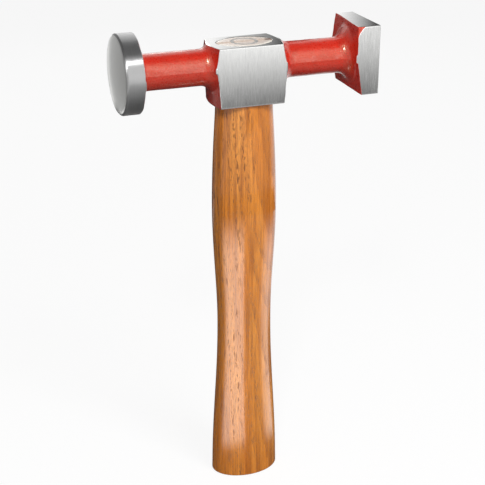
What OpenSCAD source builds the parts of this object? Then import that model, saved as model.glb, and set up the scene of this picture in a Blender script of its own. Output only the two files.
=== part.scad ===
// Planishing hammer. A drop-forged steel head, with a crowned round face at one end and a flat
// square face at the other, sits on a hickory handle. The handle's tongue fills the head's oval
// eye, where a wooden wedge and a steel ring wedge spread it.
// The origin is the centre of the handle's butt. +Z runs up the handle, -X points to the round
// face and +X to the square face. The dies that forge the head part on the plane through its axis.

/* [Head] */
// Overall length of the head, from face to face
head_l = 135; // [112:1:160]
// How far the head's middle lies from the handle's axis, towards the round face
head_shift = 0.45; // [0:0.05:2]

/* [Round face] */
// Diameter of the round plate
round_d = 40; // [34:1:46]
// Thickness of the round plate at its edge
round_t = 9; // [6:0.5:14]
// Height of the crown above the rim of the face
round_crown = 2; // [0.8:0.2:4]
// Width of the chamfer between the face and the turned side
rim_chamfer = 0.9; // [0.3:0.1:2]
// Rise of the sloping back, from the rim to the neck
round_rise = 1.6; // [0.6:0.2:3]

/* [Square face] */
// Width of the square plate, across the head
square_w = 34; // [28:0.5:40]
// Height of the square plate
square_h = 35.4; // [28:0.2:42]
// Thickness of the square plate at its top and bottom edges
square_t = 9.3; // [6:0.1:14]
// Extra thickness on the parting plane, where the back rises to a ridge
square_rise = 2.3; // [0.8:0.1:4]

/* [Necks] */
// Diameter of both necks
neck_d = 18.3; // [14:0.1:20]
// Fillet where a neck meets the eye block
block_fillet = 4.5; // [2:0.5:6]
// Fillet where a neck meets the round plate
round_fillet = 2.5; // [1.5:0.5:5]
// Fillet where a neck meets the square plate
square_fillet = 7; // [3:0.5:7.5]

/* [Eye block] */
// Length of the block's flat sides on the parting plane, along the head
block_l = 36.7; // [34:0.1:42]
// Width of the block across its two ground sides
block_w = 24.4; // [23:0.2:30]
// Height of the ground top above the head's axis
block_up = 11.3; // [10.4:0.1:16]
// Depth of the underside below the head's axis
block_down = 19.2; // [14:0.1:24]
// Bulge of the block's ends, seen from above
block_bow = 1.8; // [0.8:0.1:3]
// Die draft of the ends above the parting plane, in degrees
draft_up = 7; // [3:0.5:9]
// Die draft of the ends below the parting plane, in degrees
draft_down = 4; // [2:0.5:6]

/* [Eye] */
// Length of the eye at the top, along the head
eye_l = 29.2; // [25:0.1:31]
// Width of the eye at the top
eye_w = 19.6; // [16:0.1:20.4]
// Inset of the eye's wall at the underside, on each side
eye_inset = 0.6; // [0.2:0.1:1]
// Gap between the tongue and the wall of the eye
eye_fit = 0.08; // [0.04:0.02:0.2]

/* [Handle] */
// Length of the handle from the butt to the head's underside
handle_l = 217.8; // [180:1:300]
// Width of the handle under the head, along the head
shoulder_w = 30.3; // [29.8:0.1:33]
// Width of the swell above the waist
swell_w = 35; // [32:0.2:40]
// Width of the waist
waist_w = 30.2; // [26:0.2:34]
// Width at the butt
butt_w = 37.7; // [32:0.1:44]
// Height of the waist above the butt
waist_z = 95; // [70:1:110]
// Height of the swell above the butt
swell_z = 159; // [140:1:170]
// Depth of the handle's oval as a part of its width
oval_ratio = 0.68; // [0.66:0.01:0.8]
// Chamfer round the butt
butt_chamfer = 0.7; // [0.3:0.1:2]

/* [Wooden wedge] */
// Thickness of the wooden wedge at the top
wedge_t = 3.2; // [2:0.1:4]
// Thickness of its leading edge
wedge_tip = 1.2; // [0.8:0.1:1.8]
// Depth that it is driven to
wedge_h = 21; // [17:0.5:26]

/* [Ring wedge] */
// Outer diameter of the steel ring at the top
ring_d = 14; // [11:0.5:16]
// Outer diameter at its driving edge
ring_tip_d = 12.8; // [10:0.1:15]
// Wall of the ring at the top
ring_wall = 1.6; // [1:0.1:2.4]
// Wall of the ring at its driving edge
ring_tip = 0.6; // [0.4:0.1:0.9]
// Height of the ring
ring_h = 12; // [8:0.5:15]
// Gap round both wedges
wedge_fit = 0.05; // [0.02:0.01:0.1]

/* [Hidden] */
$fn = 96;

// Straight steps in each fillet, in the crown and along the grip
fillet_steps = 8;
crown_steps = 16;
grip_steps = 44;
// Facets of the block's tall end cones
cone_facets = 240;

// Heights of the head's axis and of its ground top above the butt
axis_z = handle_l + block_down;
top_z = axis_z + block_up;
block_h = block_up + block_down;

// The block's ends are parts of two tall cones, one for each half of the dies. The radius comes
// from the chord across the block and the bulge of the end.
end_r = (block_w * block_w / 4 + block_bow * block_bow) / (2 * block_bow);
end_x = block_l / 2 + block_bow;

neck_r = neck_d / 2;

// Distances from the handle's axis, along the head
round_front = head_l / 2 + head_shift - round_crown;
round_back = round_front - round_t;
square_front = head_l / 2 - head_shift;
square_back = square_front - square_t;
square_ridge = square_back - square_rise;

// Length that hidden ends run into the solid beside them, and past the faces that they cut
sink = 2;
// Depth of a fillet's foot below the highest line of the face that it spreads onto
root_dip = 0.9;

// Points [radius, distance] on the fillet of radius f that spreads a neck onto a flat at distance
// foot. The neck comes from nearer the handle where side is 1, and from further out where it is -1.
function flare(foot, f, side) =
    [for (i = [0 : fillet_steps])
        let (a = 90 * i / fillet_steps)
        [neck_r + f * (1 - cos(a)), foot - side * f * (1 - sin(a))]];

// Points [radius, distance] on the crown of the round face, from its rim to its middle
function crown_points(rim_r, z, h) =
    let (ball_r = (rim_r * rim_r + h * h) / (2 * h), reach = asin(rim_r / ball_r))
    [for (i = [0 : crown_steps])
        let (a = reach * (1 - i / crown_steps))
        [ball_r * sin(a), z + h - ball_r + ball_r * cos(a)]];

// A smooth step from a to b, level at both ends
function blend(a, b, t) = a + (b - a) * (1 - cos(180 * t)) / 2;

// Half the handle's width at height z above the butt
function half_width(z) =
    (z < waist_z ? blend(butt_w, waist_w, z / waist_z)
    : z < swell_z ? blend(waist_w, swell_w, (z - waist_z) / (swell_z - waist_z))
    : shoulder_w + (swell_w - shoulder_w) * sin(90 * (handle_l - z) / (handle_l - swell_z))) / 2;

// Turns +Z to point along the head, towards the round face or the square face
module to_round() {
    translate([0, 0, axis_z]) rotate([0, -90, 0]) children();
}

module to_square() {
    translate([0, 0, axis_z]) rotate([0, 90, 0]) children();
}

// Round plate, its neck and the fillet between them, turned in one profile
module round_end() {
    rim_r = round_d / 2;
    face_r = rim_r - rim_chamfer;
    to_round() rotate_extrude() polygon(concat(
        [[0, end_x - sink], [neck_r, end_x - sink]],
        flare(round_back - round_rise, round_fillet, 1),
        [[rim_r, round_back], [rim_r, round_front - rim_chamfer]],
        crown_points(face_r, round_front, round_crown)));
}

// Neck of the square end, with the large fillet that spreads onto the plate's back
module square_neck() {
    to_square() rotate_extrude() polygon(concat(
        [[0, end_x - sink], [neck_r, end_x - sink]],
        flare(square_back - root_dip, square_fillet, 1),
        [[neck_r + square_fillet, square_front - sink], [0, square_front - sink]]));
}

// Square plate. Its back has a draft both ways from the parting plane.
module square_plate() {
    half = square_h / 2;
    translate([0, 0, axis_z]) rotate([90, 0, 0]) linear_extrude(square_w, center = true)
        polygon([[square_front, -half], [square_front, half], [square_back, half],
            [square_ridge, 0], [square_back, -half]]);
}

// One half of the block's end cones, for the +X end
module end_cone() {
    up_r = end_r - block_up * tan(draft_up);
    down_r = end_r - block_down * tan(draft_down);
    translate([end_x - end_r, 0, axis_z]) {
        cylinder(h = block_up, r1 = end_r, r2 = up_r, $fn = cone_facets);
        translate([0, 0, -block_down])
            cylinder(h = block_down, r1 = down_r, r2 = end_r, $fn = cone_facets);
    }
}

// Flared roots of both necks on the block's ends
module neck_roots() {
    for (side = [0, 1]) mirror([side, 0, 0])
        to_square() rotate_extrude() polygon(concat(
            [[0, end_x - root_dip + block_fillet]],
            flare(end_x - root_dip, block_fillet, -1),
            [[neck_r + block_fillet, end_x - sink - root_dip], [0, end_x - sink - root_dip]]));
}

// Eye block, ground flat on both sides and on top
module eye_block() {
    slab_l = 2 * (end_x + block_fillet + sink);
    intersection() {
        translate([-slab_l / 2, -block_w / 2, handle_l]) cube([slab_l, block_w, block_h]);
        union() {
            intersection() {
                end_cone();
                mirror([1, 0, 0]) end_cone();
            }
            neck_roots();
        }
    }
}

// Oval cone of the eye. It is smaller by inset on every side, and longer by over at both ends.
module oval_cone(inset, over) {
    slope = eye_inset / block_h;
    top_r = eye_l / 2 - inset + slope * over;
    low_r = eye_l / 2 - inset - slope * (block_h + over);
    translate([0, 0, handle_l - over])
        scale([1, (eye_w / 2 - inset) / (eye_l / 2 - inset), 1])
        cylinder(h = block_h + 2 * over, r1 = low_r, r2 = top_r);
}

// Tapered plate of the wooden wedge, which lies along the eye
module wedge_plate(grow) {
    half_top = wedge_t / 2 + grow;
    half_tip = wedge_tip / 2 + grow;
    translate([0, 0, top_z]) rotate([90, 0, 90]) linear_extrude(eye_l + 2 * sink, center = true)
        polygon([[half_top, 0], [-half_top, 0], [-half_tip, -wedge_h - grow],
            [half_tip, -wedge_h - grow]]);
}

// Steel ring, or the groove that it has cut, which is larger by grow
module ring_shape(grow) {
    translate([0, 0, top_z]) rotate_extrude()
        polygon([[ring_d / 2 + grow, 0], [ring_d / 2 - ring_wall - grow, 0],
            [ring_tip_d / 2 - ring_tip - grow, -ring_h - grow],
            [ring_tip_d / 2 + grow, -ring_h - grow]]);
}

module hammer_head() {
    color("firebrick") difference() {
        union() {
            eye_block();
            round_end();
            square_neck();
            square_plate();
        }
        oval_cone(0, sink);
    }
}

// Oval grip, cut flat at the butt and at the shoulder that bears on the head
module grip() {
    side = [for (i = [0 : grip_steps])
        let (z = butt_chamfer + (handle_l - butt_chamfer) * i / grip_steps)
        [half_width(z), z]];
    intersection() {
        scale([1, oval_ratio, 1]) rotate_extrude() polygon(concat(
            [[0, -sink], [half_width(0) - butt_chamfer - sink, -sink]],
            side,
            [[shoulder_w / 2, handle_l + sink], [0, handle_l + sink]]));
        translate([-butt_w, -butt_w, 0]) cube([2 * butt_w, 2 * butt_w, handle_l]);
    }
}

module handle() {
    color("peru") difference() {
        union() {
            grip();
            intersection() {
                oval_cone(eye_fit, sink);
                translate([-eye_l, -eye_w, handle_l - sink])
                    cube([2 * eye_l, 2 * eye_w, block_h + sink]);
            }
        }
        wedge_plate(wedge_fit);
        ring_shape(wedge_fit);
    }
}

module wooden_wedge() {
    color("burlywood") difference() {
        intersection() {
            oval_cone(eye_fit, sink);
            wedge_plate(0);
        }
        ring_shape(wedge_fit);
    }
}

module ring_wedge() {
    color("slategray") ring_shape(0);
}

hammer_head();
handle();
wooden_wedge();
ring_wedge();
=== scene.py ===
import math

import bmesh
import bpy
import numpy as np
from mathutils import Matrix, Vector, noise


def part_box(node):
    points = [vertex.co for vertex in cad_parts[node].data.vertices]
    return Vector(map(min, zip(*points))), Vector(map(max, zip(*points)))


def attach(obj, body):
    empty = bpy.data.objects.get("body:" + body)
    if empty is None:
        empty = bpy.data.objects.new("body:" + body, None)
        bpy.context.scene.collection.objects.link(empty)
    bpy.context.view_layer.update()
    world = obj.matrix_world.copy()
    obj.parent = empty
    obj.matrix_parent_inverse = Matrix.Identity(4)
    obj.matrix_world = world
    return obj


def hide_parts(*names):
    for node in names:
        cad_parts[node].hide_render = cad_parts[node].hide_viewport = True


# Planishing hammer, stood on its butt on a pale studio floor.
# Sizes in the dictionaries are in millimetres, turned to metres when a mesh is made.

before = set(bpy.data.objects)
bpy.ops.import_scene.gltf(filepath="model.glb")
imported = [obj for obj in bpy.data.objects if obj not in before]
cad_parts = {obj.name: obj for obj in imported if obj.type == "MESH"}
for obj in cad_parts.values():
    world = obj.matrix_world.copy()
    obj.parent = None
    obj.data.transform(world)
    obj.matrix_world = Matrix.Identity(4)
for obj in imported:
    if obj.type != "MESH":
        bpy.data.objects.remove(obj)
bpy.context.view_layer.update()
mm = 0.001
headLow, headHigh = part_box("hammer_head")
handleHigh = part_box("handle")[1]
eyeTop = handleHigh.z / mm  # the tongue is cut flush with the block's ground top
print("frame loaded, nodes:", sorted(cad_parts))


# Node helpers, for shader trees and geometry trees alike

class Sock:
    # one output socket, with the arithmetic that the trees use
    def __init__(self, net, out):
        self.net = net
        self.out = out

    def __add__(self, other):
        return self.net.math("ADD", self, other)

    def __radd__(self, other):
        return self.net.math("ADD", other, self)

    def __sub__(self, other):
        return self.net.math("SUBTRACT", self, other)

    def __rsub__(self, other):
        return self.net.math("SUBTRACT", other, self)

    def __mul__(self, other):
        return self.net.math("MULTIPLY", self, other)

    def __rmul__(self, other):
        return self.net.math("MULTIPLY", other, self)

    def __truediv__(self, other):
        return self.net.math("DIVIDE", self, other)

    def __pow__(self, other):
        return self.net.math("POWER", self, other)


class Net:
    # a node tree, and the one way in which nodes are added to it
    def __init__(self, tree):
        self.tree = tree

    def node(self, kind, settings=None, sockets=None, out=0):
        made = self.tree.nodes.new(kind)
        for name, value in (settings or {}).items():
            setattr(made, name, value)
        for name, value in (sockets or {}).items():
            self.feed(self.findSocket(made.inputs, name), value)
        return Sock(self, self.findSocket(made.outputs, out)) if len(made.outputs) else None

    def findSocket(self, sockets, name):
        if isinstance(name, int):
            return sockets[name]
        for socket in sockets:
            if socket.identifier == name:
                return socket
        return sockets[name]

    def feed(self, socket, value):
        if isinstance(value, Sock):
            self.tree.links.new(value.out, socket)
        else:
            socket.default_value = value

    def math(self, operation, first, second=0.0):
        return self.node("ShaderNodeMath", {"operation": operation}, {0: first, 1: second})

    def ramp(self, value, low, high, start=0.0, end=1.0, smooth=False):
        style = "SMOOTHSTEP" if smooth else "LINEAR"
        return self.node("ShaderNodeMapRange", {"interpolation_type": style, "clamp": True},
                         {"Value": value, "From Min": low, "From Max": high, "To Min": start, "To Max": end})

    def mixColour(self, factor, first, second):
        first, second = [part if isinstance(part, Sock) else (*part, 1) for part in (first, second)]
        return self.node("ShaderNodeMix", {"data_type": "RGBA"},
                         {"Factor_Float": factor, "A_Color": first, "B_Color": second}, "Result_Color")

    def mixShader(self, factor, first, second):
        return self.node("ShaderNodeMixShader", None, {0: factor, 1: first, 2: second})

    def stretched(self, vector, scale):
        return self.node("ShaderNodeVectorMath", {"operation": "MULTIPLY"}, {0: vector, 1: scale})

    def cloud(self, vector, scale, detail=2.0, rough=0.5):
        return self.node("ShaderNodeTexNoise", None,
                         {"Vector": vector, "Scale": scale, "Detail": detail, "Roughness": rough})

    def separate(self, vector):
        return [self.node("ShaderNodeSeparateXYZ", None, {0: vector}, axis) for axis in range(3)]


def newMaterial(name):
    material = bpy.data.materials.new(name)
    material.use_nodes = True
    material.node_tree.nodes.clear()
    net = Net(material.node_tree)
    place = net.node("ShaderNodeTexCoord", None, None, "Object")
    return material, net, place


def finishMaterial(net, settings):
    shader = net.node("ShaderNodeBsdfPrincipled", None, settings)
    net.node("ShaderNodeOutputMaterial", None, {"Surface": shader})


def bumped(net, height, distance, strength=1.0, under=None):
    sockets = {"Height": height, "Distance": distance, "Strength": strength}
    if under is not None:
        sockets["Normal"] = under
    return net.node("ShaderNodeBump", None, sockets)


# Materials of the head. Scales are per metre, depths of bumps in metres.

enamel = {"colour": (0.565, 0.014, 0.005), "deep": (0.50, 0.010, 0.003), "fleck": (0.66, 0.05, 0.03),
          "roughness": 0.26, "peelRoughness": 0.12, "tint": (0.35, 0.86, 0.58, 1), "ior": 1.75,
          "peelScale": 1250.0, "peelDepth": 0.00013, "forgeScale": 210.0, "forgeDepth": 0.00022,
          "dustScale": 1900.0, "coatLow": 0.30, "coatRoughness": 0.06}


def makeEnamel():
    material, net, place = newMaterial("redEnamel")
    forge = net.cloud(place, enamel["forgeScale"], 3.0, 0.55)
    peel = net.cloud(place, enamel["peelScale"])
    dust = net.cloud(place, enamel["dustScale"], 2.0, 0.6)
    tone = net.mixColour(net.ramp(forge, 0.36, 0.66), enamel["deep"], enamel["colour"])
    tone = net.mixColour(net.ramp(dust, 0.62, 0.78, 0.0, 0.08), tone, enamel["fleck"])
    low = bumped(net, forge, enamel["forgeDepth"], 0.7)
    coat = enamel["coatLow"] + (1 - enamel["coatLow"]) * net.ramp(dust, 0.50, 0.62)
    rough = enamel["roughness"] + enamel["peelRoughness"] * net.ramp(peel, 0.35, 0.7)
    finishMaterial(net, {"Base Color": tone, "Specular Tint": enamel["tint"], "IOR": enamel["ior"],
                         "Roughness": rough, "Normal": bumped(net, peel, enamel["peelDepth"], 0.9, low),
                         "Coat Weight": coat, "Coat Roughness": enamel["coatRoughness"], "Coat IOR": 1.5})


# lines is the stretch of the grinding marks: large across them, small along them.
# stretch draws reflections out across the marks, and turn is its angle in whole turns.
steels = {
    "groundSides": {"lines": (1500.0, 900.0, 170.0), "base": (0.72, 0.72, 0.71), "roughness": 0.16,
                    "depth": 0.00002, "contrast": 0.09, "stretch": 0.5, "turn": 0.0},
    "groundTops": {"lines": (160.0, 1700.0, 900.0), "base": (0.66, 0.66, 0.65), "roughness": 0.10,
                   "depth": 0.00002, "contrast": 0.08, "stretch": 0.0, "turn": 0.0},
    "turnedSide": {"lines": (3400.0, 45.0, 45.0), "base": (0.45, 0.45, 0.45), "roughness": 0.32,
                   "depth": 0.00002, "contrast": 0.06, "stretch": 1.0, "turn": 0.08},
    "polishedFace": {"lines": (900.0, 900.0, 900.0), "base": (0.80, 0.80, 0.78), "roughness": 0.24,
                     "depth": 0.000002, "contrast": 0.02, "stretch": 0.0, "turn": 0.0},
    "ringSteel": {"lines": (900.0, 900.0, 900.0), "base": (0.60, 0.59, 0.57), "roughness": 0.46,
                  "depth": 0.00004, "contrast": 0.22, "stretch": 0.0, "turn": 0.0},
}


def makeGroundSteel(name):
    steel = steels[name]
    contrast = steel["contrast"]
    material, net, place = newMaterial(name)
    marks = net.cloud(net.stretched(place, steel["lines"]), 1.0, 3.0, 0.6)
    broad = net.cloud(net.stretched(place, [0.2 * part for part in steel["lines"]]), 1.0)
    patch = net.cloud(place, 60.0, 3.0)
    dark = [(1 - contrast) * part for part in steel["base"]]
    light = [min(1.0, (1 + contrast) * part) for part in steel["base"]]
    tone = net.mixColour(net.ramp(marks, 0.3, 0.7), dark, light)
    tone = net.mixColour(net.ramp(broad, 0.35, 0.7, 0.0, 0.35), tone, light)
    tone = net.mixColour(net.ramp(patch, 0.5, 0.8, 0.0, 0.3), tone, dark)
    rough = steel["roughness"] + 0.9 * contrast * net.ramp(marks, 0.3, 0.7) - 0.03 * net.ramp(patch, 0.4, 0.7)
    finishMaterial(net, {"Base Color": tone, "Metallic": 1.0, "Roughness": rough,
                         "Normal": bumped(net, marks, steel["depth"], 0.5),
                         "Anisotropic": steel["stretch"], "Anisotropic Rotation": steel["turn"]})
    return material


forgedWall = {"dark": (0.035, 0.033, 0.035), "light": (0.16, 0.14, 0.13), "scale": 900.0, "depth": 0.0002}


def makeEyeWall():
    material, net, place = newMaterial("eyeWall")
    crust = net.cloud(place, forgedWall["scale"], 4.0, 0.6)
    tone = net.mixColour(net.ramp(crust, 0.35, 0.7), forgedWall["dark"], forgedWall["light"])
    finishMaterial(net, {"Base Color": tone, "Metallic": 0.8, "Roughness": 0.45 + 0.3 * crust,
                         "Normal": bumped(net, crust, forgedWall["depth"], 0.6)})


headFinishes = ["redEnamel", "groundSides", "groundTops", "turnedSide", "polishedFace", "eyeWall"]
makeEnamel()
makeEyeWall()
for finish in headFinishes[1:5]:
    makeGroundSteel(finish)
print("head materials made")


# Mesh helpers

def ringFaces(rows, columns, closed=False):
    # quads between neighbouring rings of points, and from the last ring to the first when closed
    faces = []
    for row in range(rows if closed else rows - 1):
        for column in range(columns):
            after = (column + 1) % columns
            low, high = row * columns, (row + 1) % rows * columns
            faces.append((low + column, low + after, high + after, high + column))
    return faces


def newMesh(name, points, faces):
    # points in millimetres
    mesh = bpy.data.meshes.new(name)
    mesh.from_pydata(np.array(points) * mm, [], faces)
    mesh.update()
    return mesh


def turnFacesOut(mesh):
    shape = bmesh.new()
    shape.from_mesh(mesh)
    bmesh.ops.recalc_face_normals(shape, faces=shape.faces)
    shape.to_mesh(mesh)
    shape.free()


def linked(name, mesh):
    piece = bpy.data.objects.new(name, mesh)
    bpy.context.scene.collection.objects.link(piece)
    return piece


def plainMesh(piece):
    # the mesh that the modifiers give, in place of the modifiers
    bpy.context.view_layer.update()
    graph = bpy.context.evaluated_depsgraph_get()
    mesh = bpy.data.meshes.new_from_object(piece.evaluated_get(graph))
    piece.modifiers.clear()
    piece.data = mesh
    return mesh


def cutAway(piece, cutters):
    for cutter in cutters:
        cut = piece.modifiers.new("cut", "BOOLEAN")
        cut.operation = "DIFFERENCE"
        cut.solver = "EXACT"
        cut.object = cutter
    mesh = plainMesh(piece)
    for cutter in cutters:
        bpy.data.objects.remove(cutter)
    return mesh


# Hammer head: one grid of profiles round the head's axis, from the round face to the square face.
# A column is one angle round the axis and a row is one station of the profile.

head = {
    "roundD": 2 * headHigh.y / mm, "roundT": 9.0, "crown": 2.0, "rimChamfer": 0.9, "roundRise": 1.6,
    "squareW": 34.0, "squareH": 35.4, "squareCorner": 0.35, "squareRidge": 54.9,
    "neckD": 18.3, "blockFillet": 4.5, "roundFillet": 2.5, "squareFillet": 5.6, "squareFilletTop": 1.4,
    # eye block: the bow and the draft of its ends, and how far the lower die sat beside the upper one
    "blockL": 36.7, "blockW": 24.4, "blockUp": 11.3, "blockDown": 19.2, "blockCorner": 0.35,
    "bow": 1.8, "draftUp": (7.0, 9.5), "draftDown": 4.0, "dieShift": (-0.6, 0.45), "dieStep": 0.15,
    "beyondBlock": 12.0,
    # how far the plate's painted back rises at its four corners
    "backRise": {"nearUp": -0.2, "farUp": 2.35, "nearDown": 2.8, "farDown": 3.4},
    # ground edges: their size, where they start below the lip and where the flat starts behind it
    "edge": 0.22, "edgeFoot": 0.35, "edgeBack": 2.2, "faceRim": 3.0,
    # trimmed flash on the parting line: its level along the head, its lower and upper end
    "tabReach": 1.6, "tabSoft": 0.08, "blockTab": (18.67, -1.1, 1.75), "plateTab": (54.1, -0.8, 3.3),
    "rimTab": {"reach": 0.6, "middle": -1.5, "half": 2.6}, "rimWaves": ((5, 0, 0.10), (13, 1, 0.06)),
    # unevenness of the forging, seen through the paint
    "forgeDepth": 0.10, "forgeScale": 0.16, "chatterDepth": 0.035, "chatterScale": 0.5, "wobble": 0.05,
    "seam": 0.05, "seamWidth": 0.5,
    # painted corner of the plate that the grinding didn't reach
    "cornerX": 4.2, "cornerZ": 6.5, "cornerBend": 2.2, "cornerDip": 0.08,
    "eyeL": 29.2, "eyeW": 19.6, "eyeInset": 0.6, "eyeRim": 0.25, "eyeColumns": 128,
    # rows and columns of the grid
    "rowsNeck": 30, "rowsFillet": 9, "rowsEnd": 6, "rowsCrown": 14,
    "columnStep": 2.5, "cornerSteps": (-3.2, -1.9, -1.2, -0.6, 0.0, 0.6, 1.2, 1.9, 3.2),
    "partingReach": 8.0, "partingStep": 0.8, "leastStep": 0.3, "sharpAngle": 22.0,
}
head["roundApex"] = -headLow.x / mm
head["roundFront"] = head["roundApex"] - head["crown"]
head["roundBack"] = head["roundFront"] - head["roundT"]
head["squareFront"] = headHigh.x / mm
head["neckR"] = head["neckD"] / 2
head["axisZ"] = (headLow.z + headHigh.z) / 2 / mm
head["endX"] = head["blockL"] / 2 + head["bow"]
head["endR"] = (head["blockW"] ** 2 / 4 + head["bow"] ** 2) / (2 * head["bow"])


def headAngles():
    # even columns, with closer ones at the corners of the block and plate and at the parting line
    angles = list(np.arange(0.0, 360.0, head["columnStep"]))
    corners = [(high, head["blockW"] / 2) for high in (head["blockUp"], -head["blockDown"])]
    corners += [(high, head["squareW"] / 2) for high in (head["squareH"] / 2, -head["squareH"] / 2)]
    for high, half in corners:
        corner = math.degrees(math.atan2(high, half))
        for middle in (corner, 180.0 - corner):
            angles += [middle + step for step in head["cornerSteps"]]
    reach, step = head["partingReach"], head["partingStep"]
    for middle in (0.0, 180.0):
        angles += [middle + turn for turn in np.arange(-reach, reach + step / 2, step)]
    angles = np.sort(np.mod(np.array(angles), 360.0))
    least = head["leastStep"]
    keep = np.append(np.diff(angles) > least, angles[0] + 360.0 - angles[-1] > least)
    return np.radians(angles[keep])


def roundedBoxReach(theta, half, low, high, corner):
    # distance from the axis to a rectangle with rounded corners, found by halving
    middle, tall = (high + low) / 2, (high - low) / 2
    near, far = np.zeros_like(theta), np.full_like(theta, 3 * (half + tall))
    for _ in range(45):
        probe = (near + far) / 2
        acrossOut = np.abs(probe * np.cos(theta)) - (half - corner)
        upOut = np.abs(probe * np.sin(theta) - middle) - (tall - corner)
        outside = np.hypot(np.maximum(acrossOut, 0), np.maximum(upOut, 0)) - corner
        outside += np.minimum(np.maximum(acrossOut, upOut), 0)
        near = np.where(outside < 0, probe, near)
        far = np.where(outside < 0, far, probe)
    return near


def seamTab(place, up, reach, radius, tab):
    # trimmed flash on the parting plane: the ground edge stops at one level there
    level, low, high = tab
    soft = head["tabSoft"]
    window = 1 / ((1 + np.exp((up - high) / soft)) * (1 + np.exp((low - up) / soft)))
    fade = np.clip(1 - (reach - radius) / head["tabReach"], 0, 1)
    return place + (level - place) * window * fade


def blockEnd(theta, radius, reach, side):
    across, up = radius * np.cos(theta), radius * np.sin(theta)
    draft = np.where(up > 0, head["draftUp"][side], head["draftDown"])
    coneR = head["endR"] - np.abs(up) * np.tan(np.radians(draft))
    place = head["endX"] - head["endR"] + np.sqrt(coneR ** 2 - across ** 2)
    wobble = np.sin(0.9 * up + 1.7 * side) + 0.6 * np.sin(2.3 * up + 0.6 * across + side)
    uneven = head["wobble"] * wobble + head["dieShift"][side] / (1 + np.exp(up / head["dieStep"]))
    place = place + uneven * np.clip((radius - head["neckR"]) / 4, 0, 1)
    return seamTab(place, up, reach, radius, head["blockTab"])


def plateBack(theta, radius, reach):
    across, up = radius * np.cos(theta), radius * np.sin(theta)
    rise = head["backRise"]
    share = np.clip(across / head["squareW"] + 0.5, 0, 1)
    share = share * share * (3 - 2 * share)
    rises = np.where(up > 0, rise["nearUp"] + (rise["farUp"] - rise["nearUp"]) * share,
                     rise["nearDown"] + (rise["farDown"] - rise["nearDown"]) * share)
    place = head["squareRidge"] + np.abs(up) / (head["squareH"] / 2) * rises
    wobble = np.sin(0.8 * up + 0.9) + 0.7 * np.sin(1.9 * up + 0.5 * across)
    place = place + head["wobble"] * wobble * np.clip((radius - head["neckR"]) / 5, 0, 1)
    return seamTab(place, up, reach, radius, head["plateTab"])


def fillet(radius, size):
    over = np.clip((head["neckR"] + size - radius) / size, 0, 1)
    return size * (1 - np.sqrt(1 - over ** 2))


def filletReaches(reach, size):
    # radii from the neck out to the ground edge: first along the fillet, then along the flat
    neckR, steps, flats = head["neckR"], head["rowsFillet"], head["rowsEnd"]
    last = np.minimum(neckR + size, neckR + 0.72 * (reach - head["edge"] - neckR))
    turn = np.arccos(np.clip(1 - (last - neckR) / size, -1, 1))
    radii = [neckR + size * (1 - np.cos(turn * step / steps)) for step in range(steps + 1)]
    return radii + [last + (reach - head["edge"] - last) * step / flats for step in range(1, flats + 1)]


def roundEndRows(add, theta):
    # crowned face, its chamfer and the turned side
    neckR, up = head["neckR"], np.sin(theta)
    rimR, chamfer = head["roundD"] / 2, head["rimChamfer"]
    front, back = head["roundFront"], head["roundBack"]
    faceR = rimR - chamfer
    ballR = (faceR ** 2 + head["crown"] ** 2) / (2 * head["crown"])
    for step in range(1, head["rowsCrown"] + 1):
        turn = math.asin(faceR / ballR) * (0.993 * step / head["rowsCrown"])
        add(-(head["roundApex"] - ballR * (1 - math.cos(turn))), ballR * math.sin(turn), "polishedFace")
    add(-(front - 0.10), faceR + 0.08, "polishedFace")
    add(-(front - chamfer + 0.08), rimR - 0.10, "turnedSide")
    for share in (0.0, 0.04, 0.3, 0.6, 0.93):
        add(-(front - chamfer - 0.12) + share * (front - chamfer - back - 0.4), rimR, "turnedSide")
    # the ground edge waves a little, and steps forward at the trimmed flash
    tab = head["rimTab"]
    wave = tab["reach"] * np.exp(-(((rimR * up - tab["middle"]) / tab["half"]) ** 4))
    for count, phase, reach in head["rimWaves"]:
        wave = wave + reach * np.sin(count * theta + phase)
    add(-(back + 0.1) + wave, rimR, "turnedSide")
    add(-(back - 0.1) + wave, rimR - 0.12, "turnedSide")
    add(-(back - 0.25) + 0.5 * wave, rimR - 0.5, "redEnamel", 0.5)

    # sloping back and its fillet
    size = head["roundFillet"]
    slope = head["roundRise"] / (rimR - neckR - size)
    for share in (0.25, 0.5, 0.75):
        radius = rimR - 0.5 - share * (rimR - 0.5 - neckR - size)
        add(-(back - (rimR - radius) * slope), radius, "redEnamel", 1.0)
    foot = back - head["roundRise"]
    for step in range(head["rowsFillet"]):
        turn = math.pi / 2 * step / head["rowsFillet"]
        add(-(foot - size * (1 - math.cos(turn))), neckR + size * (1 - math.sin(turn)), "redEnamel",
            math.cos(turn), math.sin(turn))
    return foot - size


def neckRows(add, start, end, first):
    for step in range(first, head["rowsNeck"]):
        add(start + (end - start) * step / head["rowsNeck"], head["neckR"], "redEnamel", 0.0, 1.0)


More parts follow.
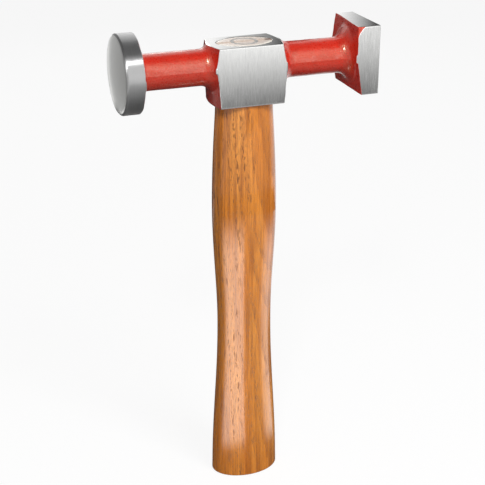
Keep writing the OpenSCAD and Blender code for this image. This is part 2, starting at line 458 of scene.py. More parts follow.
def blockRows(add, theta, reach):
    # first the end on the round side, then the ground flats, then the other end
    neckR, edge, size = head["neckR"], head["edge"], head["blockFillet"]
    for side in (0, 1):
        sign = 2 * side - 1
        stations = []
        for radius in filletReaches(reach, size):
            share = np.clip((radius - neckR) / size, 0, 1)
            place = blockEnd(theta, radius, reach, side) + fillet(radius, size)
            stations.append((sign * place, radius, "redEnamel", share, 1 - share))
        lip, foot = blockEnd(theta, reach, reach, side), head["edgeFoot"] * edge
        stations.append((sign * (lip - foot), reach - foot, "groundEdge", 0.0, 0.0))
        stations.append((sign * (lip - edge), reach, "groundEdge", 0.0, 0.0))
        stations.append((sign * (lip - head["edgeBack"] * edge), reach, "blockFlat", 0.0, 0.0))
        if side:
            # turned round, each skin belongs to the row after the one that had it
            stations.reverse()
            skins = ["blockFlat", "blockFlat", "groundEdge", "groundEdge"]
            skins += [station[2] for station in stations][3:-1]
            stations = [(*station[:2], skin, *station[3:]) for station, skin in zip(stations, skins)]
        for station in stations:
            add(*station)
        if not side:
            for share in (0.2, 0.4, 0.6, 0.8):
                add(stations[-1][0] * (1 - 2 * share), reach, "blockFlat")


def plateRows(add, theta, reach, size):
    # painted back with its fillet
    neckR, edge = head["neckR"], head["edge"]
    for radius in filletReaches(reach, size):
        share = np.clip((radius - neckR) / size, 0, 1)
        place = plateBack(theta, radius, reach) - fillet(radius, size)
        add(place, radius, "redEnamel", share, 1 - share)

    # painted corner, then the ground side, its edge and the flat face
    upEdge, acrossEdge = reach * np.sin(theta), np.abs(reach * np.cos(theta))
    drop = np.clip((head["squareH"] / 2 - upEdge) / head["cornerZ"], 0, 1)
    onSide = (acrossEdge > head["squareW"] / 2 - 0.2) & (upEdge > 0)
    scoop = np.where(onSide, head["cornerX"] * (1 - drop) ** head["cornerBend"], 0)
    lip, foot = plateBack(theta, reach, reach), head["edgeFoot"] * edge
    dip = head["cornerDip"] * np.clip(scoop / head["cornerX"], 0, 1)
    add(lip + foot, reach - foot - dip, "redEnamel")
    add(lip + 0.5 * scoop + 0.5 * edge, reach - 0.10 * edge - dip, "redEnamel")
    add(lip + 0.94 * scoop + 0.8 * edge, reach - 0.10 * edge - 0.7 * dip, "redEnamel")
    add(lip + scoop + edge, reach, "groundEdge")
    front = head["squareFront"]
    inner = lip + scoop + head["edgeBack"] * edge
    for share in (0, 0.35, 0.7, 1):
        add(inner + share * (front - 0.7 - inner), reach, "plateFlat")
    add(front - edge, reach, "plateFlat")
    add(front - foot, reach - foot, "groundEdge")
    add(front, reach - edge, "groundEdge")
    for share in (1, 0.8, 0.55, 0.3, 0.1):
        add(front, (reach - head["faceRim"] * edge) * share, "plateFace")


def headRows(theta):
    # a row is x, radius, skin of the faces before it, and weight of the forging along x and the radius
    rows = []
    neckR, ones = head["neckR"], np.ones_like(theta)

    def add(x, radius, skin, alongX=0.0, alongR=0.0):
        rows.append((x * ones, radius * ones, skin, alongX, alongR))

    low, high, half = -head["blockDown"], head["blockUp"], head["squareH"] / 2
    block = roundedBoxReach(theta, head["blockW"] / 2, low, high, head["blockCorner"])
    plate = roundedBoxReach(theta, head["squareW"] / 2, -half, half, head["squareCorner"])
    start = roundEndRows(add, theta)
    end = blockEnd(theta, neckR * ones, block, 0) + head["blockFillet"]
    neckRows(add, -start, -end, 0)
    blockRows(add, theta, block)
    size = head["squareFillet"] + head["squareFilletTop"] * np.sin(theta) ** 2
    start = blockEnd(theta, neckR * ones, block, 1) + head["blockFillet"]
    end = plateBack(theta, neckR * ones, plate) - size
    neckRows(add, start, end, 1)
    plateRows(add, theta, plate, size)
    return rows


def forgedNoise(points):
    broad, fine = head["forgeScale"], head["chatterScale"]
    values = np.empty(len(points))
    for index, point in enumerate(points):
        values[index] = head["forgeDepth"] * noise.noise(Vector(point * broad))
        values[index] += head["chatterDepth"] * noise.noise(Vector(point * fine))
    return values


def makeHead():
    theta = headAngles()
    rows = headRows(theta)
    columns = len(theta)
    x = np.array([row[0] for row in rows])
    radius = np.array([row[1] for row in rows])
    alongX = np.array([row[3] + 0 * theta for row in rows])
    alongR = np.array([row[4] + 0 * theta for row in rows])
    points = np.stack([x, radius * np.cos(theta), radius * np.sin(theta)], -1)
    painted = (alongX + alongR) > 0
    bump = np.zeros(x.shape)
    bump[painted] = forgedNoise(points[painted])
    seam = head["seam"] * np.exp(-((points[..., 2] / head["seamWidth"]) ** 2)) * painted
    # the backs of both faces look towards the block, the block's own ends away from it
    outward = np.where(x > 0, 1.0, -1.0)
    outward = np.where(np.abs(x) > head["endX"] + head["beyondBlock"], -outward, outward)
    radius = radius + (bump + seam) * alongR
    x = x + outward * (bump + 0.6 * seam) * alongX
    points = np.stack([x, radius * np.cos(theta), radius * np.sin(theta) + head["axisZ"]], -1).reshape(-1, 3)

    faces = ringFaces(len(rows), columns)
    skins = [row[2] for row in rows[1:] for column in range(columns)]
    first, last, lastRow = len(points), len(points) + 1, len(points) - columns
    poles = [(-head["roundApex"], 0, head["axisZ"]), (head["squareFront"], 0, head["axisZ"])]
    for column in range(columns):
        after = (column + 1) % columns
        faces += [(first, after, column), (last, lastRow + column, lastRow + after)]
        skins += ["polishedFace", "plateFace"]
    mesh = newMesh("hammerHead", np.vstack([points, poles]), faces)
    for name in headFinishes:
        mesh.materials.append(bpy.data.materials[name])
    for polygon, skin in zip(mesh.polygons, skins):
        if skin in ("blockFlat", "plateFlat", "groundEdge"):
            skin = "groundTops" if abs(polygon.normal.z) > 0.75 else "groundSides"
            if polygon.normal.z < -0.75 and abs(polygon.center.x) < head["endX"] * mm:
                skin = "redEnamel"
        elif skin == "plateFace":
            skin = "polishedFace"
        polygon.material_index = headFinishes.index(skin)
    turnFacesOut(mesh)
    return mesh


def makeEyeCutter():
    # oval cone through the block, with a small flare at both rims
    low = eyeTop - head["blockUp"] - head["blockDown"]
    rim, inset = head["eyeRim"], head["eyeInset"]
    stations = [(low - 2, -inset + rim), (low, -inset + rim), (low + rim, -inset), (eyeTop - rim, 0.0),
                (eyeTop, rim), (eyeTop + 2, rim)]
    columns = head["eyeColumns"]
    turns = np.linspace(0, 2 * math.pi, columns + 1)[:-1]
    points = [((head["eyeL"] / 2 + grow) * math.cos(turn), (head["eyeW"] / 2 + grow) * math.sin(turn), z)
              for z, grow in stations for turn in turns]
    faces = ringFaces(len(stations), columns)
    faces.append(tuple(reversed(range(columns))))
    faces.append(tuple(range(len(points) - columns, len(points))))
    return newMesh("eyeCutter", points, faces)


def buildHead():
    piece = linked("hammer_head_forged", makeHead())
    mesh = cutAway(piece, [linked("eyeCutter", makeEyeCutter())])
    wall, tops = headFinishes.index("eyeWall"), headFinishes.index("groundTops")
    for polygon in mesh.polygons:
        x, y, z = polygon.center / mm
        acrossX, acrossY = x / (head["eyeL"] / 2 + head["eyeRim"]), y / (head["eyeW"] / 2 + head["eyeRim"])
        if acrossX ** 2 + acrossY ** 2 < 1.001:
            rim = abs(polygon.normal.z) > 0.5 and z > eyeTop - 1
            polygon.material_index = tops if rim else wall
    mesh.shade_smooth()
    mesh.set_sharp_from_angle(angle=math.radians(head["sharpAngle"]))
    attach(piece, "root")
    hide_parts("hammer_head")
    print("head built,", len(mesh.polygons), "faces")


buildHead()


# Materials of the handle and the wedges

hickory = {"pale": (0.88, 0.345, 0.060), "body": (0.70, 0.212, 0.020), "dark": (0.30, 0.080, 0.012),
           "pore": (0.11, 0.030, 0.008), "sheen": (1.0, 0.93, 0.82, 1), "grainDepth": 0.00008,
           "ringStep": 2.5, "pithX": -21.0, "pithY": 34.0, "leanX": 0.05, "leanY": -0.06,
           "swayX": 14.0, "swayY": 10.0, "rightFrom": -5.0, "rightTo": 9.0}
# size of the pores across and along the grain, and a shift that keeps the layers apart
poreLayers = ((700.0, 110.0, 0.0), (1150.0, 190.0, 0.37), (1700.0, 300.0, 0.71))
# end grain: the wood's own colours, set paler as painted light that stands in for light from above on the
# tongue's top; rim is paler still towards the edge of the eye
endWood = {"pale": (0.90, 0.78, 0.68), "dark": (0.60, 0.44, 0.35), "rim": (0.94, 0.88, 0.78),
           "halfX": 14.5, "halfY": 9.7, "depth": 0.00006}
wedgeTone = {"dark": (0.48, 0.33, 0.25), "pale": (0.84, 0.70, 0.58), "darkEnd": (0.10, 0.042, 0.022),
             "darkEndFrom": 0.0105, "darkEndTo": 0.0115, "depth": 0.0001}


def growthRings(net, place):
    # rings about a pith that leans away behind the handle, and how far a point lies on the right side
    x, y, z = net.separate(place)
    sway = net.cloud(net.stretched(place, (16.0, 16.0, 7.0)), 1.0)
    streak = net.cloud(net.stretched(place, (420.0, 420.0, 7.0)), 1.0, 3.0, 0.55)
    acrossX = x / mm - hickory["pithX"] + z / mm * hickory["leanX"] + hickory["swayX"] * (sway - 0.5)
    acrossY = y / mm - hickory["pithY"] + z / mm * hickory["leanY"] + hickory["swayY"] * (sway - 0.5)
    distance = (acrossX * acrossX + acrossY * acrossY) ** 0.5
    ring = net.math("FRACT", distance / hickory["ringStep"] + 0.5 * (streak - 0.5))
    rightSide = net.ramp(x / mm + 6.0 * (sway - 0.5), hickory["rightFrom"], hickory["rightTo"], smooth=True)
    return ring, streak, rightSide


def makeHickory():
    material, net, place = newMaterial("lacqueredHickory")
    ring, streak, rightSide = growthRings(net, place)
    fibre = net.cloud(net.stretched(place, (2200.0, 2200.0, 26.0)), 1.0, 3.0, 0.6)
    shade = net.cloud(net.stretched(place, (90.0, 90.0, 9.0)), 1.0)
    late = net.ramp(ring, 0.0, 0.8, 1.0, 0.0, True)
    # short dark pores, closest in the early wood of each ring and on the left, where the rings are cut across
    pores = []
    for across, along, shift in poreLayers:
        slid = net.node("ShaderNodeVectorMath", {"operation": "ADD"}, {0: place, 1: (shift, shift, shift)})
        cell = net.node("ShaderNodeTexVoronoi", None,
                        {"Vector": net.stretched(slid, (across, across, along)), "Scale": 1.0})
        pores.append(net.ramp(cell, 0.20, 0.34, 1.0, 0.0))
    crowd = net.ramp(ring, 0.1, 0.6, 1.0, 0.35, True) * net.ramp(shade, 0.36, 0.56, 0.35, 1.0)
    crowd = crowd * (1 - 0.55 * rightSide)
    pore = net.math("MAXIMUM", net.math("MAXIMUM", pores[0], pores[1]), pores[2]) * crowd
    tone = net.mixColour(net.ramp(shade, 0.3, 0.7), hickory["body"], hickory["pale"])
    tone = net.mixColour(late * (0.08 + 0.26 * rightSide), tone, hickory["dark"])
    tone = net.mixColour(net.ramp(streak, 0.46, 0.66, 0.0, 0.58), tone, hickory["dark"])
    tone = net.mixColour(net.ramp(fibre, 0.44, 0.66, 0.0, 0.52), tone, hickory["dark"])
    tone = net.mixColour(pore * 0.85, tone, hickory["pore"])
    finishMaterial(net, {"Base Color": tone, "Roughness": 0.20 + 0.12 * fibre + 0.3 * pore,
                         "Normal": bumped(net, 0.4 * fibre - pore, hickory["grainDepth"], 0.6),
                         "IOR": 1.5, "Specular Tint": hickory["sheen"], "Coat Weight": 0.6 * (1 - pore),
                         "Coat Roughness": 0.1, "Coat IOR": 1.5})
    return material


def makeEndGrain():
    material, net, place = newMaterial("endGrain")
    late = net.ramp(growthRings(net, place)[0], 0.0, 0.8, 1.0, 0.0, True)
    dots = net.cloud(net.stretched(place, (2600.0, 2600.0, 60.0)), 1.0)
    x, y, _ = net.separate(place)
    spanX, spanY = x / mm / endWood["halfX"], y / mm / endWood["halfY"]
    # the pale end grain colours are partly painted light from above, as set in endWood
    tone = net.mixColour(net.ramp(dots, 0.35, 0.68), endWood["pale"], endWood["dark"])
    tone = net.mixColour(late * 0.4, tone, endWood["dark"])
    tone = net.mixColour(net.ramp(spanX * spanX + spanY * spanY, 0.55, 0.95), tone, endWood["rim"])
    finishMaterial(net, {"Base Color": tone, "Roughness": 0.35 + 0.2 * dots, "Coat Weight": 1.0,
                         "Coat Roughness": 0.25, "IOR": 1.75,
                         "Normal": bumped(net, dots, endWood["depth"], 0.6)})
    return material


def makeWedgeWood():
    material, net, place = newMaterial("wedgeWood")
    fibre = net.cloud(net.stretched(place, (700.0, 2600.0, 90.0)), 1.0, 3.0, 0.6)
    tone = net.mixColour(net.ramp(fibre, 0.3, 0.7), wedgeTone["dark"], wedgeTone["pale"])
    # the wedge's wood turns darker over its last few millimetres towards +x
    reach = net.separate(place)[0] + 0.004 * (fibre - 0.5)
    towardsEnd = net.ramp(reach, wedgeTone["darkEndFrom"], wedgeTone["darkEndTo"], 0.0, 0.85)
    tone = net.mixColour(towardsEnd, tone, wedgeTone["darkEnd"])
    finishMaterial(net, {"Base Color": tone, "Roughness": 0.40 + 0.2 * fibre, "IOR": 1.75,
                         "Normal": bumped(net, fibre, wedgeTone["depth"], 0.6)})
    return material


lacquered = makeHickory()
endGrain = makeEndGrain()
wedgeWood = makeWedgeWood()
ringSteel = makeGroundSteel("ringSteel")
print("handle materials made")


# Handle: an oval loft with a tongue, made by one geometry tree

grip = {"Length": handleHigh.z / mm - 30.5, "Butt Width": 37.7, "Waist Width": 30.2, "Waist Height": 95.0,
        "Swell Width": 35.0, "Swell Height": 159.0, "Shoulder Width": 30.3, "Oval Ratio": 0.68,
        "Butt Round": 0.7, "Tongue Length": 29.04, "Tongue Width": 19.44, "Tongue Inset": 0.6,
        "Tongue Height": 30.5, "Hand Finish": 0.12, "Seed": 4.0}
# shares of the rows at which each stretch of the loft ends
gripRows = {"all": 236, "columns": 144, "cap": 0.04, "edge": 0.06, "grip": 0.80, "shoulder": 0.83,
            "tongue": 0.95}
gripSharp = 40.0  # angle in degrees from which an edge of the handle is sharp


def makeGripTree():
    tree = bpy.data.node_groups.new("turnedHandle", "GeometryNodeTree")
    tree.is_modifier = True
    ids = {}
    for name, value in grip.items():
        socket = tree.interface.new_socket(name=name, in_out="INPUT", socket_type="NodeSocketFloat")
        socket.default_value = value
        ids[name] = socket.identifier
    for name in ("Side Material", "End Material"):
        socket = tree.interface.new_socket(name=name, in_out="INPUT", socket_type="NodeSocketMaterial")
        ids[name] = socket.identifier
    tree.interface.new_socket(name="Geometry", in_out="OUTPUT", socket_type="NodeSocketGeometry")
    net = Net(tree)
    inputs = tree.nodes.new("NodeGroupInput")
    given = {name: Sock(net, net.findSocket(inputs.outputs, key)) for name, key in ids.items()}

    grid = net.node("GeometryNodeMeshGrid", None,
                    {"Size X": 1.0, "Size Y": 1.0, "Vertices X": gripRows["all"],
                     "Vertices Y": gripRows["columns"] + 1})
    place = net.node("GeometryNodeInputPosition")
    along, around, _ = net.separate(place)
    along = along + 0.5
    turn = (around + 0.5) * (2 * math.pi)
    onEdge = net.ramp(along, gripRows["cap"], gripRows["edge"])
    onGrip = net.ramp(along, gripRows["edge"], gripRows["grip"])
    onShoulder = net.ramp(along, gripRows["grip"], gripRows["shoulder"])
    onTongue = net.ramp(along, gripRows["shoulder"], gripRows["tongue"])
    cap = net.ramp(along, 0.0, gripRows["cap"]) * net.ramp(along, gripRows["tongue"], 1.0, 1.0, 0.0)

    # butt to waist to swell in level cosine steps, then a quarter sine to the shoulder
    low = given["Butt Round"] * onEdge + (given["Length"] - given["Butt Round"]) * onGrip
    toWaist = net.ramp(low / given["Waist Height"], 0.0, 1.0)
    swellRise = given["Swell Height"] - given["Waist Height"]
    toSwell = net.ramp((low - given["Waist Height"]) / swellRise, 0.0, 1.0)
    toTop = net.ramp((low - given["Swell Height"]) / (given["Length"] - given["Swell Height"]), 0.0, 1.0)

    def level(share):
        return (1 - net.math("COSINE", share * math.pi)) * 0.5

    width = given["Butt Width"] + (given["Waist Width"] - given["Butt Width"]) * level(toWaist)
    width = width + (given["Swell Width"] - given["Waist Width"]) * level(toSwell)
    fall = 1 - net.math("COSINE", toTop * (math.pi / 2))
    width = width - (given["Swell Width"] - given["Shoulder Width"]) * fall
    over = net.ramp(low / given["Butt Round"], 0.0, 1.0, 1.0, 0.0)
    width = width - 2 * given["Butt Round"] * (1 - (1 - over * over) ** 0.5)

    halfX = 0.5 * width * (1 - onShoulder)
    halfX = halfX + (0.5 * given["Tongue Length"] - given["Tongue Inset"]) * onShoulder
    halfX = halfX + given["Tongue Inset"] * onTongue
    halfY = 0.5 * width * given["Oval Ratio"] * (1 - onShoulder)
    halfY = halfY + (0.5 * given["Tongue Width"] - given["Tongue Inset"]) * onShoulder
    halfY = halfY + given["Tongue Inset"] * onTongue
    height = low + given["Tongue Height"] * onTongue
    x = halfX * cap * net.math("COSINE", turn)
    y = halfY * cap * net.math("SINE", turn)

    # a hand-sanded surface is never quite true
    spot = net.node("ShaderNodeCombineXYZ", None, {"X": x * 0.05, "Y": y * 0.05, "Z": height * 0.022})
    wave = net.node("ShaderNodeTexNoise", {"noise_dimensions": "4D"},
                    {"Vector": spot, "W": given["Seed"], "Scale": 1.0, "Detail": 1.0})
    inner = net.ramp(low, 0.5, 6.0) * net.ramp(given["Length"] - low, 0.5, 6.0) * given["Hand Finish"]
    grow = 1 - inner * net.ramp(wave, 0.3, 0.7) / halfX
    moved = net.node("ShaderNodeCombineXYZ", None, {"X": x * grow * mm, "Y": y * grow * mm, "Z": height * mm})
    shaped = net.node("GeometryNodeSetPosition", None, {"Geometry": grid, "Position": moved})
    closed = net.node("GeometryNodeMergeByDistance", None, {"Geometry": shaped, "Distance": 0.000004})
    normal = net.separate(net.node("GeometryNodeInputNormal"))
    isEnd = net.math("GREATER_THAN", net.math("ABSOLUTE", normal[2]), 0.9)
    real = net.node("GeometryNodeRealizeInstances", None, {"Geometry": closed})
    sided = net.node("GeometryNodeSetMaterial", None, {"Geometry": real, "Material": given["Side Material"]})
    ended = net.node("GeometryNodeSetMaterial", None,
                     {"Geometry": sided, "Selection": isEnd, "Material": given["End Material"]})
    net.node("NodeGroupOutput", None, {"Geometry": ended})
    return tree, ids


wedges = {"plateTop": 3.2, "plateTip": 1.2, "plateDeep": 21.0, "ringTop": 14.0, "ringLow": 12.8,
          "wallTop": 1.6, "wallLow": 0.6, "ringDeep": 12.0, "fit": 0.05, "over": 2.0, "ringColumns": 96}


def makeGroove():
    # what the ring wedge has cut: its own tapering section, larger by the fit and open at the top
    fit, over, deep = wedges["fit"], wedges["over"], wedges["ringDeep"] + wedges["fit"]
    outer, inner = wedges["ringTop"] / 2 + fit, wedges["ringTop"] / 2 - wedges["wallTop"] - fit
    lowOuter, lowInner = wedges["ringLow"] / 2 + fit, wedges["ringLow"] / 2 - wedges["wallLow"] - fit
    stations = [(outer, over), (inner, over), (inner, 0.0),
                (lowInner, -deep), (lowOuter, -deep), (outer, 0.0)]
    columns = wedges["ringColumns"]
    turns = [2 * math.pi * column / columns for column in range(columns)]
    points = [(radius * math.cos(turn), radius * math.sin(turn), eyeTop + z)
              for radius, z in stations for turn in turns]
    mesh = newMesh("groove", points, ringFaces(len(stations), columns, True))
    turnFacesOut(mesh)
    return mesh


def makeKerf():
    # what the wooden wedge fills, right across the tongue
    top, tip = wedges["plateTop"] / 2 + wedges["fit"], wedges["plateTip"] / 2 + wedges["fit"]
    deep, over, reach = wedges["plateDeep"] + wedges["fit"], wedges["over"], head["eyeL"] / 2 + 2
    outline = [(top, over), (-top, over), (-top, 0.0), (-tip, -deep), (tip, -deep), (top, 0.0)]
    points = [(x, y, eyeTop + z) for x in (-reach, reach) for y, z in outline]
    corners = len(outline)
    faces = ringFaces(2, corners)
    faces += [tuple(reversed(range(corners))), tuple(range(corners, 2 * corners))]
    mesh = newMesh("kerf", points, faces)
    turnFacesOut(mesh)
    return mesh


def buildHandle():
    tree, ids = makeGripTree()
    piece = linked("hickory_handle", bpy.data.meshes.new("handleSeed"))
    loft = piece.modifiers.new("turnedHandle", "NODES")
    loft.node_group = tree
    for name, value in grip.items():
        loft[ids[name]] = value
    loft[ids["Side Material"]] = lacquered
    loft[ids["End Material"]] = endGrain
    turnFacesOut(plainMesh(piece))
    mesh = cutAway(piece, [linked("kerf", makeKerf()), linked("groove", makeGroove())])
    ended = [index for index, material in enumerate(mesh.materials) if material == endGrain]
    isEnd = [polygon.material_index in ended for polygon in mesh.polygons]
    mesh.materials.clear()
    for material in (lacquered, endGrain):
        mesh.materials.append(material)
    for polygon, end in zip(mesh.polygons, isEnd):
        inEye = polygon.center.z > (grip["Length"] + 0.2) * mm
        polygon.material_index = 1 if end or inEye else 0
    mesh.shade_smooth()
    mesh.set_sharp_from_angle(angle=math.radians(gripSharp))
    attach(piece, "root")
    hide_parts("handle")
    print("handle built,", len(mesh.polygons), "faces,", sum(isEnd), "of end grain")


buildHandle()

for node, material in (("wooden_wedge", wedgeWood), ("ring_wedge", ringSteel)):
    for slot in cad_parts[node].material_slots:
        slot.material = material
print("wedges finished")


# Floor, world and lamps. Places are in metres from here on.

white = (1, 1, 1, 1)
studio = {"floorSize": 6.0, "floorDrop": 0.0002, "floorColour": (0.38, 0.38, 0.38, 1), "floorSeen": white,
          "floorGlow": 0.88, "floorMirrored": 0.96, "world": 0.30, "mirrored": 1.0, "backdrop": 0.92}


def lightPath(net, name):
    return net.node("ShaderNodeLightPath", None, None, name)


def emission(net, strength):
    return net.node("ShaderNodeEmission", None, {"Color": white, "Strength": strength})


def buildFloor():
    # dim to the light that it sends back, nearly white to the camera, with the object's shadow on it
    material, net, _ = newMaterial("paleFloor")
    seen = lightPath(net, "Is Camera Ray")
    mirrored = lightPath(net, "Is Glossy Ray")
    dim = net.node("ShaderNodeBsdfDiffuse", None, {"Color": studio["floorColour"]})
    pale = net.node("ShaderNodeBsdfDiffuse", None, {"Color": studio["floorSeen"]})
    share = net.math("MAXIMUM", studio["floorGlow"] * seen, studio["floorMirrored"] * mirrored)
    mixed = net.mixShader(share, net.mixShader(seen, dim, pale), emission(net, 1.0))
    net.node("ShaderNodeOutputMaterial", None, {"Surface": mixed})
    half, low = studio["floorSize"] / 2, -studio["floorDrop"]
    mesh = bpy.data.meshes.new("floor")
    corners = [(-half, -half, low), (half, -half, low), (half, half, low), (-half, half, low)]
    mesh.from_pydata(corners, [], [(0, 1, 2, 3)])
    mesh.materials.append(material)
    linked("studio_floor", mesh)


def buildWorld():
    world = bpy.data.worlds.new("studio")
    bpy.context.scene.world = world
    world.use_nodes = True
    world.node_tree.nodes.clear()
    net = Net(world.node_tree)
    reflected = net.math("MAXIMUM", lightPath(net, "Is Glossy Ray"), lightPath(net, "Is Transmission Ray"))
    room, mirrored, backdrop = [
        net.node("ShaderNodeBackground", None, {"Color": white, "Strength": studio[name]})
        for name in ("world", "mirrored", "backdrop")]
    mixed = net.mixShader(reflected, room, mirrored)
    mixed = net.mixShader(lightPath(net, "Is Camera Ray"), mixed, backdrop)
    net.node("ShaderNodeOutputWorld", None, {"Surface": mixed})


# glow is the brightness of the panel itself, where the white floor has 1
lamps = {
    "keyLight": {"place": (0.26, -0.77, 0.97), "target": (0, 0, 0.2), "size": (0.55, 0.50), "glow": 5.9,
                 "mirrored": False},
    "stripSoftbox": {"place": (-0.34, -0.68, 0.90), "target": (0, 0, 0.235), "size": (0.11, 0.15),
                     "glow": 50.0, "mirrored": True},
    "rightPanel": {"place": (0.45, -0.89, 0.50), "target": (0, 0, 0.235), "size": (0.36, 0.86), "glow": 2.5,
                   "mirrored": False},
    "rearSoftbox": {"place": (0.25, 0.95, 0.50), "target": (0, 0, 0.235), "size": (0.45, 0.40), "glow": 1.2,
                    "mirrored": True},
}
plateFill = {"place": (-0.62, -0.36, 0.46), "target": (0.055, -0.008, 0.246), "angle": 4.0, "power": 11.0,
             "blend": 0.9, "softness": 0.03, "mirrored": False}


def aimLamp(name, lamp, setting):
    holder = linked(name, lamp)
    place, target = Vector(setting["place"]), Vector(setting["target"])
    holder.location = place
    holder.rotation_euler = (target - place).to_track_quat("-Z", "Y").to_euler()
    holder.visible_camera = False
    holder.visible_glossy = setting["mirrored"]


def buildLamps():
    for name, setting in lamps.items():
        panel = bpy.data.lights.new(name, "AREA")
        panel.shape = "RECTANGLE"
        panel.size, panel.size_y = setting["size"]
        panel.energy = 4 * panel.size * panel.size_y * setting["glow"]
        aimLamp(name, panel, setting)
    # a narrow fill for the painted back of the plate
    spot = bpy.data.lights.new("plateFill", "SPOT")
    spot.energy = plateFill["power"]
    spot.spot_size = math.radians(plateFill["angle"])
    spot.spot_blend = plateFill["blend"]
    spot.shadow_soft_size = plateFill["softness"]
    aimLamp("plateFill", spot, plateFill)


# Studio cards that only reflections see: they neither light the object nor shade it

def addCard(name, points, material, faces=((0, 1, 2, 3),)):
    mesh = bpy.data.meshes.new(name)
    mesh.from_pydata(points, [], faces)
    mesh.materials.append(material)
    card = linked(name, mesh)
    card.visible_camera = False
    card.visible_diffuse = False
    card.visible_transmission = False
    card.visible_shadow = False


def upright(card):
    # corners of a standing card from the places of its two ends and its two heights
    low, high = card["heights"]
    left, right = card["ends"]
    return [(*left, low), (*right, low), (*right, high), (*left, high)]


def plainGlow(name, strength):
    material, net, _ = newMaterial(name)
    net.node("ShaderNodeOutputMaterial", None, {"Surface": emission(net, strength)})
    return material


class GradedGlow:
    # emission from nothing up to top, by a share that is worked out from the place of a point
    def __init__(self, name, top):
        self.material, self.net, place = newMaterial(name)
        self.place = self.net.separate(place)
        self.top = top

    def finish(self, share):
        mixed = self.net.mixShader(share, emission(self.net, 0.0), emission(self.net, self.top))
        self.net.node("ShaderNodeOutputMaterial", None, {"Surface": mixed})
        return self.material


# a fade is the stretch that it runs over, in metres, and its level at both ends of that stretch.
# plainCards are dark strips behind the head, for the undersides of the necks and the plate's back.
plainCards = {
    "rear_card": {"ends": ((-0.045, 0.12), (0.035, 0.12)), "heights": (0.15, 0.243), "glow": 0.03},
    "neck_card": {"ends": ((-0.048, 0.05), (-0.020, 0.05)), "heights": (0.14, 0.225), "glow": 0.03},
    "far_card": {"ends": ((-0.01, 0.55), (0.16, 0.55)), "heights": (0.0, 0.30), "glow": 0.08},
}
darkMat = {"height": -0.0001,
           "outline": [(-0.5, -1.0), (1.2, -1.0), (1.2, -0.03), (0.12, -0.03), (0.12, 0.62), (-0.17, 0.62),
                       (-0.17, 0.30), (-0.5, 0.30), (-0.5, -0.03), (-0.17, -0.03), (0.19, -0.03),
                       (0.19, 0.15), (0.12, 0.15)],
           "faces": [(0, 1, 2, 3, 9, 8), (9, 3, 4, 5, 6), (8, 9, 6, 7), (3, 10, 11, 12)],
           "nearFade": (0.0, 0.14, 0.07, 0.31), "middleFade": (0.14, 0.60, 0.0, 0.24),
           "frontFade": (0.60, 0.98, 0.0, 0.40)}
overheadCard = {"half": 0.7, "front": -0.74, "back": 0.52, "height": 1.1, "fade": (0.30, 0.72, 0.12, 0.80)}
leftCard = {"ends": ((-0.58, -0.155), (-0.13, 0.64)), "heights": (0.0, 0.8), "fade": (-0.1, 0.6, 0.06, 0.52)}


def buildDarkCards():
    for name, card in plainCards.items():
        addCard(name, upright(card), plainGlow(name, card["glow"]))
    # a mat round the butt that pales towards the front
    mat = GradedGlow("darkMat", 1.0)
    net, front = mat.net, 0 - mat.place[1]
    level = net.ramp(front, *darkMat["nearFade"]) + net.ramp(front, *darkMat["middleFade"])
    level = level + net.ramp(front, *darkMat["frontFade"], True)
    points = [(x, y, darkMat["height"]) for x, y in darkMat["outline"]]
    addCard("dark_mat", points, mat.finish(level), darkMat["faces"])
    # overhead, paler towards the front, for the top of the round face and the necks
    over = GradedGlow("overheadCard", 1.0)
    level = over.net.ramp(0 - over.place[1], *overheadCard["fade"], True)
    half, front, back, height = [overheadCard[key] for key in ("half", "front", "back", "height")]
    corners = [(-half, front, height), (half, front, height), (half, back, height), (-half, back, height)]
    addCard("overhead_card", corners, over.finish(level))
    # at the left, paler towards the back, for the crowned face and the handle's left edge
    left = GradedGlow("leftCard", 1.0)
    addCard("left_card", upright(leftCard), left.finish(left.net.ramp(left.place[1], *leftCard["fade"])))


frontCard = {"ends": ((0.008, -0.112), (0.125, -0.112)), "heights": (0.178, 0.234), "top": 1.4,
             "fadeUp": (0.183, 0.226, 0.07, 0.94), "fadeRight": (0.065, 0.095, 1.0, 0.72)}
backCard = {"ends": ((0.005, 0.1), (0.15, 0.1)), "heights": (0.252, 0.33), "top": 1.4,
            "blockFade": (0.016, 0.062, 0.86, 0.05), "plateFade": (0.076, 0.088, 0.0, 0.92),
            "lastFade": (0.094, 0.122, 0.0, 0.90), "cornerFade": (0.066, 0.078, 0.36, 0.10),
            "cornerFrom": 0.290, "cornerTo": 0.302}


def buildNearCards():
    # close to the head: one shades the ground fronts downwards, the other the ground tops to the right
    front = GradedGlow("frontCard", frontCard["top"])
    net, (x, _, z) = front.net, front.place
    level = net.ramp(z, *frontCard["fadeUp"]) * net.ramp(x, *frontCard["fadeRight"])
    addCard("front_card", upright(frontCard), front.finish(level))
    back = GradedGlow("backCard", backCard["top"])
    net, (x, _, z) = back.net, back.place
    level = net.ramp(x, *backCard["blockFade"]) + net.ramp(x, *backCard["plateFade"], True)
    level = level - net.ramp(x, *backCard["lastFade"])
    upper = net.ramp(z, backCard["cornerFrom"], backCard["cornerTo"])
    level = level * (1 - upper * net.ramp(x, *backCard["cornerFade"]))
    addCard("back_card", upright(backCard), back.finish(level))


tallCard = {"azimuth": 18.3, "half": 0.075, "out": 0.6, "heights": (0.10, 0.80), "top": 3.0,
            "footFade": (0.10, 0.20, 0.25, 0.85), "topFade": (0.58, 0.80, 1.0, 0.33)}
glintCard = {"place": (-0.343, -0.686, 0.908), "target": (0, 0, 0.235), "halfWidth": 0.07, "halfHeight": 0.16,
             "glow": 18.0}
lidCard = {"inner": 0.026, "outer": 0.064, "height": 0.153, "from": -100.0, "turn": 180.0, "steps": 20,
           "glow": 0.04}


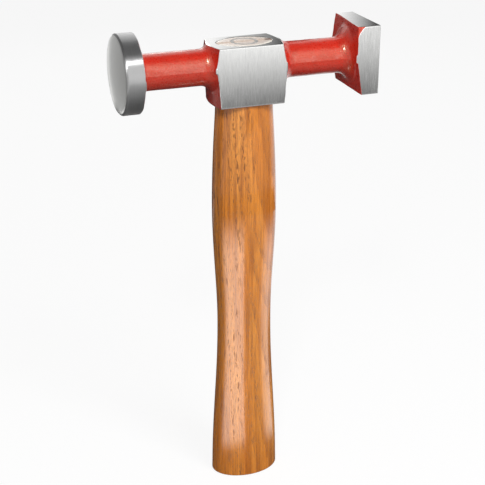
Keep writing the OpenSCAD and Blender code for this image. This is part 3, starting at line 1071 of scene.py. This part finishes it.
def buildTallCard():
    # narrow and bright at the right front: the enamel mirrors it as a band along both necks
    middle, across, out = math.radians(tallCard["azimuth"]), tallCard["half"], tallCard["out"]
    x, y = out * math.sin(middle), -out * math.cos(middle)
    side = across * math.cos(middle), across * math.sin(middle)
    ends = ((x - side[0], y - side[1]), (x + side[0], y + side[1]))
    tall = GradedGlow("tallCard", tallCard["top"])
    net, z = tall.net, tall.place[2]
    level = net.ramp(z, *tallCard["footFade"], True) * net.ramp(z, *tallCard["topFade"], True)
    addCard("tall_card", upright({"ends": ends, "heights": tallCard["heights"]}), tall.finish(level))


def buildGlintCard():
    # just behind the strip softbox: it widens the white spots on the necks' roots and the round face
    centre, target = Vector(glintCard["place"]), Vector(glintCard["target"])
    ahead = (target - centre).normalized()
    side = ahead.cross(Vector((0, 0, 1))).normalized()
    rise = side.cross(ahead) * glintCard["halfHeight"]
    side = side * glintCard["halfWidth"]
    points = [centre + side * across + rise * up for across, up in ((-1, -1), (1, -1), (1, 1), (-1, 1))]
    addCard("glint_card", points, plainGlow("glintCard", glintCard["glow"]))


def buildLid():
    # a dark half ring below the head keeps the glow of the veils off its underside
    points, faces = [], []
    for step in range(lidCard["steps"] + 1):
        turn = math.radians(lidCard["from"] + lidCard["turn"] * step / lidCard["steps"])
        points += [(-math.sin(turn) * out, -math.cos(turn) * out, lidCard["height"])
                   for out in (lidCard["inner"], lidCard["outer"])]
    for step in range(lidCard["steps"]):
        faces.append((2 * step, 2 * step + 1, 2 * step + 3, 2 * step + 2))
    addCard("lid_card", points, plainGlow("lidCard", lidCard["glow"]), faces)


# turns are in degrees from straight in front, positive to the left; each side fades towards its last turn
veil = {"near": 0.045, "far": 0.150, "top": 0.150, "foot": 0.0002, "glow": 4.4, "steps": 12, "outside": 0.01,
        "topFade": (0.100, 0.150, 1.0, 0.15), "reachFade": (0.045, 0.062, 0.25, 1.0)}
veilSides = {
    "veil_left": {"first": 1.0, "last": 76.0, "fadeFrom": 56.0, "faded": 0.35, "power": 1.0},
    "veil_right": {"first": -93.0, "last": -51.0, "fadeFrom": -60.0, "faded": 0.3, "power": 0.50},
}


def veilGlow(name, side):
    glow = GradedGlow(name, veil["glow"])
    net, (x, y, z) = glow.net, glow.place
    behind = net.node("ShaderNodeNewGeometry", None, None, "Backfacing")
    reach = (x * x + y * y) ** 0.5
    turn = net.math("ARCTAN2", 0 - x, 0 - y)
    level = net.ramp(z, *veil["topFade"], True) * net.ramp(reach, *veil["reachFade"], True)
    fadeFrom, last = math.radians(side["fadeFrom"]), math.radians(side["last"])
    fade = net.ramp(turn, fadeFrom, last, 1.0, side["faded"], True)
    return glow.finish(level * fade * side["power"] * (1 - behind) + veil["outside"] * behind)


def buildVeils():
    # low tents beside the grip, bright inside and dark outside, that give the lacquer its two pale bands
    for name, side in veilSides.items():
        profile = [(veil["near"], veil["foot"]), (veil["far"], veil["foot"]), (veil["near"], veil["top"])]
        points, faces = [], []
        for step in range(veil["steps"] + 1):
            turn = math.radians(side["first"] + (side["last"] - side["first"]) * step / veil["steps"])
            points += [(-math.sin(turn) * out, -math.cos(turn) * out, high) for out, high in profile]
        for step in range(veil["steps"]):
            for part in (0, 1):
                low, high = 3 * step + part, 3 * (step + 1) + part
                faces.append((low, high, high + 1, low + 1))
        addCard(name, points, veilGlow(name, side), faces)


buildFloor()
buildWorld()
buildLamps()
buildDarkCards()
buildNearCards()
buildTallCard()
buildGlintCard()
buildLid()
buildVeils()
print("studio built")


# Camera, solved from the photograph's own edges

view = {"place": (-0.2025, -0.5542, 0.3921), "back": (-0.31424, -0.86358, 0.39432), "lens": 89.07,
        "sensor": 36.0, "near": 0.01, "far": 50.0}


def buildCamera():
    lens = bpy.data.cameras.new("camera")
    lens.sensor_width, lens.lens = view["sensor"], view["lens"]
    lens.clip_start, lens.clip_end = view["near"], view["far"]
    camera = linked("camera", lens)
    camera.location = view["place"]
    camera.rotation_euler = (-Vector(view["back"])).to_track_quat("-Z", "Y").to_euler()
    bpy.context.scene.camera = camera


buildCamera()
bpy.context.scene.view_settings.view_transform = "Standard"
print("camera set")

bpy.context.view_layer.update()
